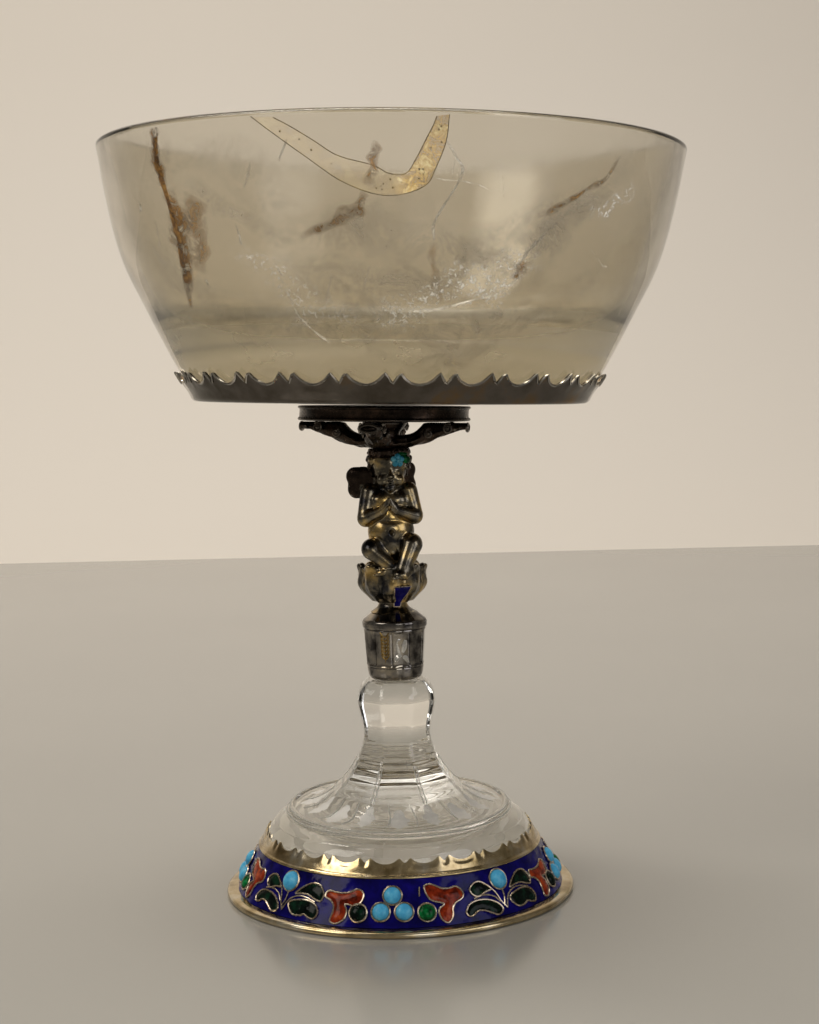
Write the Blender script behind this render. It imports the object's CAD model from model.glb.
import math

import bpy
import numpy as np
from mathutils import Euler, Matrix, Vector
from mathutils.geometry import delaunay_2d_cdt


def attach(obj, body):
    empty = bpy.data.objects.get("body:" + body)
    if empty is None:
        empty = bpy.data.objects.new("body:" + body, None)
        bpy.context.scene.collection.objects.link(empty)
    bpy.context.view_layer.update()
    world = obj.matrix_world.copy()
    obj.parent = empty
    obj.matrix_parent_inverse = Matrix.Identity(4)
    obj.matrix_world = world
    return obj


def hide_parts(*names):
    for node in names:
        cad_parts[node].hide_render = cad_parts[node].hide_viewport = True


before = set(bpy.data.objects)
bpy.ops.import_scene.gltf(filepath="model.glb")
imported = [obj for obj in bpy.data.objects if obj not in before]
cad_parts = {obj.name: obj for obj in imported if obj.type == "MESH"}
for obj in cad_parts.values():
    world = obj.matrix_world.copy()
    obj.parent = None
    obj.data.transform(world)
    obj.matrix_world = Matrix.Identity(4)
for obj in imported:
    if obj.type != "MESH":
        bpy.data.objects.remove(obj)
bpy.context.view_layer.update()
print("frame loaded:", len(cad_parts), "nodes")

mm = 0.001  # every shape below is drawn in millimetres

# how the goblet stands: the foot is level, everything above the child's head leans
stance = {
    "footOffset": -0.8,
    "drumShift": -1.2,
    "leanRight": 1.6,
    "leanBack": 1.4,
    "leanHeight": 97.4,
    "bowlSet": (1.25, -0.9, 0.0),
    "puttoShift": -0.5,
}
onFoot = Matrix.Translation((stance["footOffset"], 0, 0))
onPutto = onFoot @ Matrix.Translation((stance["puttoShift"], 0, 0))
onCup = onFoot @ Matrix.Translation((stance["puttoShift"] / 2, 0, 0))
onDrum = (
    onFoot
    @ Matrix.Translation((stance["drumShift"], 0, stance["leanHeight"]))
    @ Matrix.Rotation(-math.radians(stance["leanBack"]), 4, "X")
    @ Matrix.Rotation(math.radians(stance["leanRight"]), 4, "Y")
    @ Matrix.Translation((0, 0, -stance["leanHeight"]))
)
onBowl = onDrum @ Matrix.Translation(stance["bowlSet"])


# small tools

def srgb(hexText):
    parts = [int(hexText[i:i + 2], 16) / 255 for i in (1, 3, 5)]
    return tuple(c / 12.92 if c <= 0.04045 else ((c + 0.055) / 1.055) ** 2.4 for c in parts) + (1.0,)


def perMm(size):
    return 1000.0 / size  # texture scale for a pattern of this size in mm


def setSockets(mat, node, sockets):
    for name, value in sockets.items():
        socket = node.inputs[name]
        if isinstance(value, bpy.types.NodeSocket):
            mat.node_tree.links.new(value, socket)
        else:
            socket.default_value = value


def addNode(mat, kind, sockets=None, stops=None, **settings):
    node = mat.node_tree.nodes.new(kind)
    for name, value in settings.items():
        setattr(node, name, value)
    for i, (spot, tone) in enumerate(stops or []):  # colour stops of a ramp
        elements = node.color_ramp.elements
        stop = elements[i] if i < 2 else elements.new(spot)
        stop.position = spot
        stop.color = srgb(tone) if isinstance(tone, str) else (tone, tone, tone, 1.0)
    setSockets(mat, node, sockets or {})
    return node


def startMaterial(name, sockets):
    mat = bpy.data.materials.new(name)
    mat.use_nodes = True
    shader = mat.node_tree.nodes["Principled BSDF"]
    setSockets(mat, shader, sockets)
    return mat, shader


def smoothLine(points, steps=6, loop=False):
    knots = [Vector(p) for p in points]
    count = len(knots)
    line = []
    for i in range(count if loop else count - 1):
        if loop:
            a, b, c, d = (knots[(i + k) % count] for k in (-1, 0, 1, 2))
        else:
            b, c = knots[i], knots[i + 1]
            a = knots[i - 1] if i else b * 2 - c
            d = knots[i + 2] if i + 2 < count else c * 2 - b
        for k in range(steps):
            t = k / steps
            line.append(0.5 * (2 * b + (c - a) * t + (2 * a - 5 * b + 4 * c - d) * t ** 2
                               + (3 * b - a - 3 * c + d) * t ** 3))
    if not loop:
        line.append(knots[-1])
    return line


def smoothStep(value, low, high):
    t = np.clip((value - low) / (high - low), 0, 1)
    return t * t * (3 - 2 * t)


def turned(profile, sides, shape=None, loop=False):
    # lathe about Z with angle 0 to the front; shape(radius, height, angle, row) moves a point
    points, faces, rings = [], [], []
    for row, (radius, height) in enumerate(profile):
        if radius < 1e-6:
            rings.append([len(points)] * sides)
            points.append((0, 0, height))
            continue
        rings.append(range(len(points), len(points) + sides))
        for i in range(sides):
            angle = 2 * math.pi * i / sides
            r, z = shape(radius, height, angle, row) if shape else (radius, height)
            points.append((r * math.sin(angle), -r * math.cos(angle), z))
    pairs = list(zip(rings, rings[1:])) + ([(rings[-1], rings[0])] if loop else [])
    for low, high in pairs:
        for i in range(sides):
            j = (i + 1) % sides
            corners = (low[i], low[j], high[j], high[i])
            faces.append(tuple(dict.fromkeys(corners)))
    return points, faces


def patch(rows, loopRows=False, loopCols=False):
    # quads over a table of points
    height, width = len(rows), len(rows[0])
    points = [p for row in rows for p in row]
    faces = []
    for i in range(height if loopRows else height - 1):
        for j in range(width if loopCols else width - 1):
            k, l = (i + 1) % height, (j + 1) % width
            faces.append((i * width + j, i * width + l, k * width + l, k * width + j))
    return points, faces


def tube(path, radius, sides=8, loop=False, squash=1.0):
    # round wire along a path; radius is one number or one per point
    path = [Vector(p) for p in path]
    count = len(path)
    normal = None
    rows = []
    for i, p in enumerate(path):
        before = path[i - 1] if (i or loop) else p
        after = path[(i + 1) % count] if (i + 1 < count or loop) else p
        along = (after - before).normalized()
        if normal is None:
            normal = along.orthogonal().normalized()
        normal = (normal - along * normal.dot(along)).normalized()
        side = along.cross(normal)
        r = radius[i] if isinstance(radius, (list, tuple)) else radius
        rows.append([p + normal * (r * math.cos(t)) + side * (r * squash * math.sin(t))
                     for t in (2 * math.pi * k / sides for k in range(sides))])
    points, faces = patch(rows, loopRows=loop, loopCols=True)
    if not loop:
        for row, end in ((0, path[0]), (count - 1, path[-1])):
            tip = len(points)
            points.append(end)
            for k in range(sides):
                edge = (row * sides + k, row * sides + (k + 1) % sides)
                faces.append((tip, *(edge if row else edge[::-1])))
    return points, faces


def ball(center, radii, turn=(0, 0, 0), sides=20):
    half = sides // 2
    outline = [(math.sin(math.pi * i / half), -math.cos(math.pi * i / half)) for i in range(half + 1)]
    outline[0], outline[-1] = (0, -1), (0, 1)
    points, faces = turned(outline, sides)
    spin = Euler([math.radians(t) for t in turn]).to_matrix()
    sizes = Vector(radii) if hasattr(radii, "__len__") else Vector((radii,) * 3)
    return [Vector(center) + spin @ (Vector(p) * sizes) for p in points], faces


def limb(start, end, startRadius, endRadius, sides=18):
    # tapering round limb with rounded ends
    start, end = Vector(start), Vector(end)
    axis = (end - start).normalized()
    path, radii = [], []
    for i in range(1, 7):
        t = math.pi / 2 * i / 6
        path.append(start - axis * startRadius * math.cos(t))
        radii.append(startRadius * math.sin(t))
    for i in range(6):
        t = math.pi / 2 * i / 6
        path.append(end + axis * endRadius * math.sin(t))
        radii.append(endRadius * math.cos(t))
    return tube(path, radii, sides)


def gather(shapes):
    points, faces = [], []
    for shapePoints, shapeFaces in shapes:
        start = len(points)
        points.extend(shapePoints)
        faces.extend(tuple(k + start for k in face) for face in shapeFaces)
    return points, faces


def placed(shape, matrix):
    return [matrix @ Vector(p) for p in shape[0]], shape[1]


def meshPiece(name, shape, material, place=onFoot, replaces=(), sharp=40, fade=None, clear=False):
    points, faces = placed(shape, place)
    mesh = bpy.data.meshes.new(name)
    mesh.from_pydata([p * mm for p in points], [], faces)
    mesh.validate()
    mesh.shade_smooth()
    mesh.set_sharp_from_angle(angle=math.radians(sharp))
    if fade is not None:  # how strongly each point shows, read by the inclusion materials
        mesh.attributes.new("fade", "FLOAT", "POINT").data.foreach_set("value", list(fade))
    piece = bpy.data.objects.new(name, mesh)
    bpy.context.scene.collection.objects.link(piece)
    mesh.materials.append(material)
    piece.visible_shadow = not clear  # lamps shine through clear crystal
    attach(piece, "root")
    if replaces:
        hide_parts(*replaces)
    return piece


# materials

def rockCrystal(name, look):
    # polished natural quartz: glassy, a warm smoky body tint, hairline polishing waves on the skin
    mat, shader = startMaterial(name, {
        "Transmission Weight": look["clear"], "IOR": 1.544})
    place = addNode(mat, "ShaderNodeTexCoord").outputs["Object"]
    height = addNode(mat, "ShaderNodeSeparateXYZ", {"Vector": place}).outputs["Z"]
    rise = addNode(mat, "ShaderNodeMapRange", {
        "Value": height, "From Min": look["smokeMm"][0] * mm, "From Max": look["smokeMm"][1] * mm})
    tone = addNode(mat, "ShaderNodeValToRGB", {"Fac": rise.outputs["Result"]},
        stops=[(0.0, look["low"]), (1.0, look["tint"])])
    smear = addNode(mat, "ShaderNodeTexNoise", {"Vector": place, "Scale": perMm(9), "Detail": 4.0})
    rough = addNode(mat, "ShaderNodeMapRange", {
        "Value": smear.outputs["Fac"], "From Min": 0.35, "From Max": 0.75,
        "To Min": look["rough"][0], "To Max": look["rough"][1]})
    waves = addNode(mat, "ShaderNodeTexNoise", {
        "Vector": place, "Scale": perMm(look["waveMm"]), "Detail": 2.0, "Roughness": 0.4})
    skin = addNode(mat, "ShaderNodeBump", {
        "Height": waves.outputs["Fac"], "Strength": 1.0, "Distance": look["waveDepthMm"] * mm})
    setSockets(mat, shader, {
        "Base Color": tone.outputs["Color"], "Roughness": rough.outputs["Result"],
            "Normal": skin.outputs["Normal"]})
    return mat


def agedMetal(name, look):
    # old silver or gilding: dark in the hollows, cloudy tarnish on the flats, rubbed bright on the edges
    mat, shader = startMaterial(name, {"Metallic": look.get("metallic", 1.0)})
    place = addNode(mat, "ShaderNodeTexCoord").outputs["Object"]
    cloud = addNode(mat, "ShaderNodeTexNoise", {
        "Vector": place, "Scale": perMm(look["cloudMm"]), "Detail": 5.0, "Roughness": 0.62})
    tone = addNode(mat, "ShaderNodeValToRGB", {"Fac": cloud.outputs["Fac"]}, stops=look["tones"])
    edge = addNode(mat, "ShaderNodeNewGeometry").outputs["Pointiness"]
    rubbed = addNode(mat, "ShaderNodeMapRange", {
        "Value": edge, "From Min": look["edge"][0], "From Max": look["edge"][1], "To Max": look["edge"][2]})
    colour = addNode(mat, "ShaderNodeMix", {
        0: rubbed.outputs["Result"], 6: tone.outputs["Color"], 7: srgb(look["bright"])}, data_type="RGBA")
    hollow = addNode(mat, "ShaderNodeMapRange", {
        "Value": edge, "From Min": look["hollow"][0], "From Max": look["hollow"][1],
        "To Min": look["hollow"][2], "To Max": 0.0})
    colour = addNode(mat, "ShaderNodeMix", {
        0: hollow.outputs["Result"], 6: colour.outputs[2], 7: srgb(look["deep"])}, data_type="RGBA")
    grain = addNode(mat, "ShaderNodeTexNoise", {
        "Vector": place, "Scale": perMm(look["grainMm"]), "Detail": 6.0, "Roughness": 0.7})
    rough = addNode(mat, "ShaderNodeMapRange", {
        "Value": grain.outputs["Fac"], "From Min": 0.3, "From Max": 0.7,
        "To Min": look["rough"][0], "To Max": look["rough"][1]})
    skin = addNode(mat, "ShaderNodeBump", {
        "Height": grain.outputs["Fac"], "Strength": 1.0, "Distance": look["grainDepthMm"] * mm})
    setSockets(mat, shader, {
        "Base Color": colour.outputs[2], "Roughness": rough.outputs["Result"],
        "Normal": skin.outputs["Normal"]})
    return mat


def firedEnamel(name, look):
    # glass paste fired in wire cells: wet gloss, darker pools, pinholes and a slightly uneven top
    mat, shader = startMaterial(name, {
        "IOR": 1.52, "Coat Weight": 0.03, "Coat Roughness": 0.04, "Specular IOR Level": 0.1})
    place = addNode(mat, "ShaderNodeTexCoord").outputs["Object"]
    pools = addNode(mat, "ShaderNodeTexNoise", {
        "Vector": place, "Scale": perMm(look["poolMm"]), "Detail": 4.0, "Roughness": 0.6})
    tone = addNode(mat, "ShaderNodeValToRGB", {"Fac": pools.outputs["Fac"]}, stops=look["tones"])
    pits = addNode(mat, "ShaderNodeTexVoronoi", {"Vector": place, "Scale": perMm(0.9)})
    pitShade = addNode(mat, "ShaderNodeMapRange", {
        "Value": pits.outputs["Distance"], "From Min": 0.02, "From Max": 0.16, "To Min": 0.45, "To Max": 0.0})
    colour = addNode(mat, "ShaderNodeMix", {
        0: pitShade.outputs["Result"], 6: tone.outputs["Color"], 7: srgb(look["pit"])}, data_type="RGBA")
    rough = addNode(mat, "ShaderNodeMapRange", {
        "Value": pools.outputs["Fac"], "From Min": 0.3, "From Max": 0.7, "To Min": 0.06, "To Max": 0.16})
    swell = addNode(mat, "ShaderNodeTexNoise", {"Vector": place, "Scale": perMm(1.6), "Detail": 3.0})
    skin = addNode(mat, "ShaderNodeBump", {
        "Height": swell.outputs["Fac"], "Strength": 1.0, "Distance": 0.07 * mm})
    setSockets(mat, shader, {
        "Base Color": colour.outputs[2], "Roughness": rough.outputs["Result"],
        "Normal": skin.outputs["Normal"]})
    return mat


def inclusion(name, look):
    # what is sealed in the quartz: a thin stained or cloudy sheet that breaks up towards its edges
    mat, shader = startMaterial(name, {"Roughness": look["rough"], "IOR": 1.5})
    place = addNode(mat, "ShaderNodeTexCoord").outputs["Object"]
    stain = addNode(mat, "ShaderNodeTexNoise", {
        "Vector": place, "Scale": perMm(look["grainMm"]), "Detail": 7.0, "Roughness": 0.7, "Distortion": 0.6})
    tone = addNode(mat, "ShaderNodeValToRGB", {"Fac": stain.outputs["Fac"]}, stops=look["tones"])
    fade = addNode(mat, "ShaderNodeAttribute", attribute_name="fade")
    torn = addNode(mat, "ShaderNodeMapRange", {
        "Value": stain.outputs["Fac"], "From Min": look["torn"][0], "From Max": look["torn"][1],
        "To Min": look["torn"][2], "To Max": 1.0})
    alpha = addNode(mat, "ShaderNodeMath", {
        0: fade.outputs["Fac"], 1: torn.outputs["Result"]}, operation="MULTIPLY", use_clamp=True)
    setSockets(mat, shader, {"Base Color": tone.outputs["Color"], "Alpha": alpha.outputs[0]})
    return mat


bowlQuartz = rockCrystal("rockCrystalPolished", {
    "tint": "#E8E4D9", "low": "#DCD5C3", "smokeMm": (112, 146), "clear": 1.0, "rough": (0.0, 0.05),
        "waveMm": 14,
    "waveDepthMm": 0.10})
bowlInside = rockCrystal("rockCrystalGround", {  # the hollow kept a softer finish, so the far wall blurs
    "tint": "#E3DED2", "low": "#D8D1BF", "smokeMm": (112, 146), "clear": 1.0, "rough": (0.08, 0.2),
        "waveMm": 14,
    "waveDepthMm": 0.10})
bowlFloor = rockCrystal("rockCrystalScratchedFloor", {  # worn by use, so what lies below melts together
    "tint": "#D8D1BF", "low": "#D2CAB6", "smokeMm": (108, 118), "clear": 1.0, "rough": (0.26, 0.42),
        "waveMm": 14,
    "waveDepthMm": 0.10})
bowlSeat = rockCrystal("rockCrystalRoughSeat", {  # unpolished where it beds in the dish, dull olive
    "tint": "#8C826C", "low": "#7C725C", "smokeMm": (102, 105), "clear": 0.0, "rough": (0.5, 0.7),
        "waveMm": 5,
    "waveDepthMm": 0.10})
footQuartz = rockCrystal("rockCrystalCut", {
    "tint": "#F8F7F3", "low": "#F3F0E8", "smokeMm": (10, 18), "clear": 1.0, "rough": (0.0, 0.02), "waveMm": 9,
    "waveDepthMm": 0.03})
footBase = rockCrystal("rockCrystalGroundBase", {  # the underside was left ground, so the foot glows pale
    "tint": "#D9D3C5", "low": "#CFC8B8", "smokeMm": (10, 11), "clear": 0.62, "rough": (0.25, 0.45),
        "waveMm": 4,
    "waveDepthMm": 0.08})
frostedCut, frostedShader = startMaterial("rockCrystalEngraved", {  # matt wheel-cut lines, pale grey
    "Base Color": srgb("#EDEBE4"), "Transmission Weight": 0.55, "Roughness": 0.6, "IOR": 1.544})
frostGrain = addNode(frostedCut, "ShaderNodeTexNoise", {
    "Vector": addNode(frostedCut, "ShaderNodeTexCoord").outputs["Object"], "Scale": perMm(0.35),
        "Detail": 5.0})
setSockets(frostedCut, frostedShader, {"Normal": addNode(frostedCut, "ShaderNodeBump", {
    "Height": frostGrain.outputs["Fac"], "Distance": 0.05 * mm}).outputs["Normal"]})

dishSilver = agedMetal("silverTarnishedPolished", {
    "cloudMm": 16, "tones": [(0.36, "#463F35"), (0.54, "#66605A"), (0.66, "#7A5C2E")], "deep": "#1E1B18",
    "bright": "#8A857C", "edge": (0.6, 0.8, 0.1), "hollow": (0.40, 0.48, 0.2), "grainMm": 3.0,
    "grainDepthMm": 0.004, "rough": (0.08, 0.18)})
dullSilver = agedMetal("silverDulledInside", {  # never polished, brown under the crystal
    "cloudMm": 9, "tones": [(0.36, "#3A342B"), (0.54, "#5C5342"), (0.68, "#6E5F44")], "deep": "#1F1B16",
    "bright": "#9A9486", "edge": (0.56, 0.7, 0.3), "hollow": (0.40, 0.48, 0.4), "grainMm": 1.2,
    "grainDepthMm": 0.02, "rough": (0.45, 0.6)})
blackSilver = agedMetal("silverBlackenedCast", {
    "cloudMm": 5, "tones": [(0.35, "#211C19"), (0.55, "#42372F"), (0.7, "#6C5546")], "deep": "#0B0A09",
    "bright": "#B5ADA2", "edge": (0.54, 0.68, 0.8), "hollow": (0.36, 0.49, 0.9), "grainMm": 0.9,
    "grainDepthMm": 0.02, "rough": (0.18, 0.4)})
puttoSilver = agedMetal("silverGiltWornCast", {
    "cloudMm": 5, "tones": [(0.40, "#2F2F31"), (0.51, "#7C7464"), (0.65, "#C2A468")], "deep": "#100F10",
    "bright": "#E6DABA", "edge": (0.53, 0.66, 0.6), "hollow": (0.36, 0.48, 0.9), "grainMm": 1.2,
    "grainDepthMm": 0.006, "rough": (0.14, 0.28)})
potSilver = agedMetal("silverOxidisedEngraved", {
    "cloudMm": 5, "tones": [(0.38, "#353230"), (0.5, "#85807A"), (0.64, "#A89E8E")], "deep": "#0C0A09",
    "bright": "#DAD6CE", "edge": (0.53, 0.64, 0.8), "hollow": (0.38, 0.49, 0.9), "grainMm": 1.5,
    "grainDepthMm": 0.003, "rough": (0.06, 0.14)})
chasedSilver = agedMetal("silverChasedBright", {
    "metallic": 0.55, "cloudMm": 2, "tones": [(0.4, "#A8A49C"), (0.6, "#DEDBD4")], "deep": "#2A2724",
    "bright": "#F2F0EA", "edge": (0.53, 0.62, 0.6), "hollow": (0.38, 0.48, 0.5), "grainMm": 0.5,
    "grainDepthMm": 0.01, "rough": (0.16, 0.3)})
featherGilt = agedMetal("silverGiltChased", {
    "cloudMm": 2, "tones": [(0.4, "#4C3A20"), (0.6, "#745A32")], "deep": "#1C140A",
    "bright": "#C7A662", "edge": (0.53, 0.62, 0.6), "hollow": (0.38, 0.48, 0.5), "grainMm": 0.5,
    "grainDepthMm": 0.01, "rough": (0.2, 0.34)})
giltSilver = agedMetal("silverGiltPolished", {
    "cloudMm": 9, "tones": [(0.36, "#8E7A52"), (0.5, "#C4B088"), (0.66, "#DCD5C4")], "deep": "#32240F",
    "bright": "#F0E2BE", "edge": (0.53, 0.64, 0.8), "hollow": (0.40, 0.48, 0.7), "grainMm": 1.6,
    "grainDepthMm": 0.012, "rough": (0.12, 0.26)})
cellWire = agedMetal("silverWireDrawn", {
    "cloudMm": 3, "tones": [(0.4, "#A08C76"), (0.6, "#C9BBA6")], "deep": "#3B2F25",
    "bright": "#EFE6D4", "edge": (0.55, 0.68, 0.5), "hollow": (0.38, 0.47, 0.6), "grainMm": 0.5,
    "grainDepthMm": 0.01, "rough": (0.18, 0.34)})
cobaltEnamel = firedEnamel("enamelCobaltFired", {
    "poolMm": 4, "tones": [(0.34, "#07043C"), (0.5, "#0C0758"), (0.68, "#130C74")], "pit": "#030216"})
redEnamel = firedEnamel("enamelBrickRedFired", {
    "poolMm": 1.8, "tones": [(0.34, "#4A1408"), (0.5, "#8A2C12"), (0.66, "#B54E22")], "pit": "#2B0C06"})
leafEnamel = firedEnamel("enamelBottleGreenFired", {
    "poolMm": 2.2, "tones": [(0.36, "#020506"), (0.52, "#06130D"), (0.68, "#0E3020")], "pit": "#020403"})
greenEnamel = firedEnamel("enamelEmeraldFired", {
    "poolMm": 1.6, "tones": [(0.36, "#03240F"), (0.52, "#075A2A"), (0.68, "#168A48")], "pit": "#021409"})
flowerEnamel = firedEnamel("enamelTurquoiseFired", {
    "poolMm": 1.2, "tones": [(0.36, "#1F5F78"), (0.52, "#3D93AE"), (0.68, "#7CC3CF")], "pit": "#0E2C3A"})
beadTurquoise = firedEnamel("turquoisePolishedCabochon", {
    "poolMm": 1.3, "tones": [(0.34, "#47A2D2"), (0.52, "#56B6E0"), (0.68, "#74C6E8")], "pit": "#3C93C2"})
rustStain = inclusion("ironStainInQuartz", {
    "grainMm": 2.2, "tones": [(0.38, "#2B1D08"), (0.5, "#704A14"), (0.64, "#B5873A")],
    "torn": (0.36, 0.54, 0.0), "rough": 0.6})
veilCloud = inclusion("healedVeilInQuartz", {
    "grainMm": 7.0, "tones": [(0.36, "#7C7466"), (0.5, "#968C7A"), (0.66, "#B5AB99")],
    "torn": (0.42, 0.66, 0.05), "rough": 0.5})
crackVeil = inclusion("healedCrackInQuartz", {
    "grainMm": 1.6, "tones": [(0.36, "#8C8478"), (0.52, "#CFC9BD"), (0.66, "#F2EFE8")],
    "torn": (0.34, 0.52, 0.1), "rough": 0.3})
agedGlue = inclusion("resinGlueYellowed", {
    "grainMm": 2.2, "tones": [(0.36, "#8E6A26"), (0.5, "#D2AE5C"), (0.64, "#F6E9B8")],
    "torn": (0.30, 0.62, 0.25), "rough": 0.12})
glueEdge = inclusion("resinGlueEdge", {
    "grainMm": 1.5, "tones": [(0.36, "#4A3E28"), (0.52, "#7A6A44"), (0.66, "#A8945E")],
    "torn": (0.24, 0.46, 0.35), "rough": 0.3})
sparkVeil = inclusion("tinyFlawsInQuartz", {
    "grainMm": 0.8, "tones": [(0.4, "#CFCAC0"), (0.6, "#FFFFFF")], "torn": (0.5, 0.62, 0.0), "rough": 0.2})
print("materials:", len(bpy.data.materials))


# crystal bowl

bowlSet = {
    "sides": 288,
    "wave": 0.10,  # hand-ground unevenness, mm
    "seat": 103.9,
    "floor": 117.0,
    "outer": [(39.1, 102.9), (42.8, 107.2), (49.6, 120.0), (54.2, 129.6), (57.4, 141.5), (59.4, 151.8)],
    "rim": [(59.4, 151.8), (59.35, 152.35), (58.7, 152.8), (58.1, 152.87), (57.5, 152.8), (56.95, 152.4),
        (56.8, 152.0)],
    "inner": [(56.8, 152.0), (53.9, 140.5), (50.3, 128.5), (45.2, 118.5), (38.6, 112.4), (29.0, 109.8),
        (16.0, 108.9), (6.0, 108.7)],
}
outerLine = smoothLine(bowlSet["outer"], 14)
innerLine = smoothLine(bowlSet["inner"], 14)


def bowlWave(radius, height, angle, row):
    if radius < 36:
        return radius, height
    wave = math.sin(3 * angle + 0.09 * height) + 0.6 * math.sin(7 * angle - 0.16 * height + 1.3)
    wave += 0.5 * math.sin(0.31 * height + 2 * angle)
    return radius + bowlSet["wave"] * 0.5 * wave, height


bowlProfile = [(0, 102.2)] + [(r, 102.2) for r in (12, 24, 34, 37.8)] + [(38.6, 102.4)]
bowlProfile += [tuple(p) for p in outerLine] + [tuple(p) for p in smoothLine(bowlSet["rim"], 3)[1:-1]]
bowlProfile += [tuple(p) for p in innerLine] + [(0, 108.7)]
bowlPiece = meshPiece("crystal_bowl_ground", turned(bowlProfile, bowlSet["sides"], bowlWave), bowlQuartz,
                      onBowl, ["crystal_bowl"], sharp=70, clear=True)
bowlPiece.data.materials.append(bowlInside)
bowlPiece.data.materials.append(bowlSeat)
bowlPiece.data.materials.append(bowlFloor)
insideRow = len(bowlProfile) - len(innerLine) - 2
for face in bowlPiece.data.polygons:
    row = face.index // bowlSet["sides"]
    low = bowlProfile[row][1]
    if row > insideRow:
        face.material_index = 3 if low < bowlSet["floor"] else 1
    elif low < bowlSet["seat"] and row < 20:
        face.material_index = 2


def wallPoint(angle, height, depth):
    # depth 0 is the outside of the wall and 1 its inside
    outer = np.interp(height, [p[1] for p in outerLine], [p[0] for p in outerLine])
    inner = np.interp(height, [p[1] for p in innerLine[::-1]], [p[0] for p in innerLine[::-1]])
    r = outer + (inner - outer) * depth
    a = math.radians(angle)
    return Vector((r * math.sin(a), -r * math.cos(a), height))


def wallRibbon(path, widths, depth, strength=1.0, cols=9, steps=10, seed=0.0):
    # a torn strip that follows the wall; widths run from the first point to the last
    line = smoothLine(path, steps)
    rows, fade = [], []
    for i, p in enumerate(line):
        t = i / (len(line) - 1)
        ahead = line[min(i + 1, len(line) - 1)] - line[max(i - 1, 0)]
        along = Vector((ahead[0] * 0.9, ahead[1])).normalized()  # about 0.9 mm of wall to a degree
        width = np.interp(t, np.linspace(0, 1, len(widths)), widths)
        width *= 1 + 0.25 * math.sin(9 * t + seed) + 0.15 * math.sin(23 * t + 2 * seed)
        row = []
        for k in range(cols):
            s = 2 * k / (cols - 1) - 1
            off = s * width / 2 + 0.12 * width * math.sin(14 * t + seed)
            spot = (p[0] - along[1] * off / 0.9, min(p[1] + along[0] * off, 151.6))
            inside = depth + 0.10 * math.sin(6 * t + seed) + 0.12 * s
            row.append(wallPoint(spot[0], spot[1], min(max(inside, 0.06), 0.94)))
            ends = min(1, 6 * t, 6 * (1 - t)) if 0 < t < 1 else 0
            fade.append(strength * (1 - abs(s) ** 2.2) * (0.25 + 0.75 * ends))
        rows.append(row)
    return patch(rows), fade


def wallPieces(name, material, ribbons):
    shapes, fade = [], []
    for number, ribbon in enumerate(ribbons):
        shape, values = wallRibbon(*ribbon, seed=1.7 * number)
        shapes.append(shape)
        fade += values
    meshPiece(name, gather(shapes), material, onBowl, fade=fade)


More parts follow.
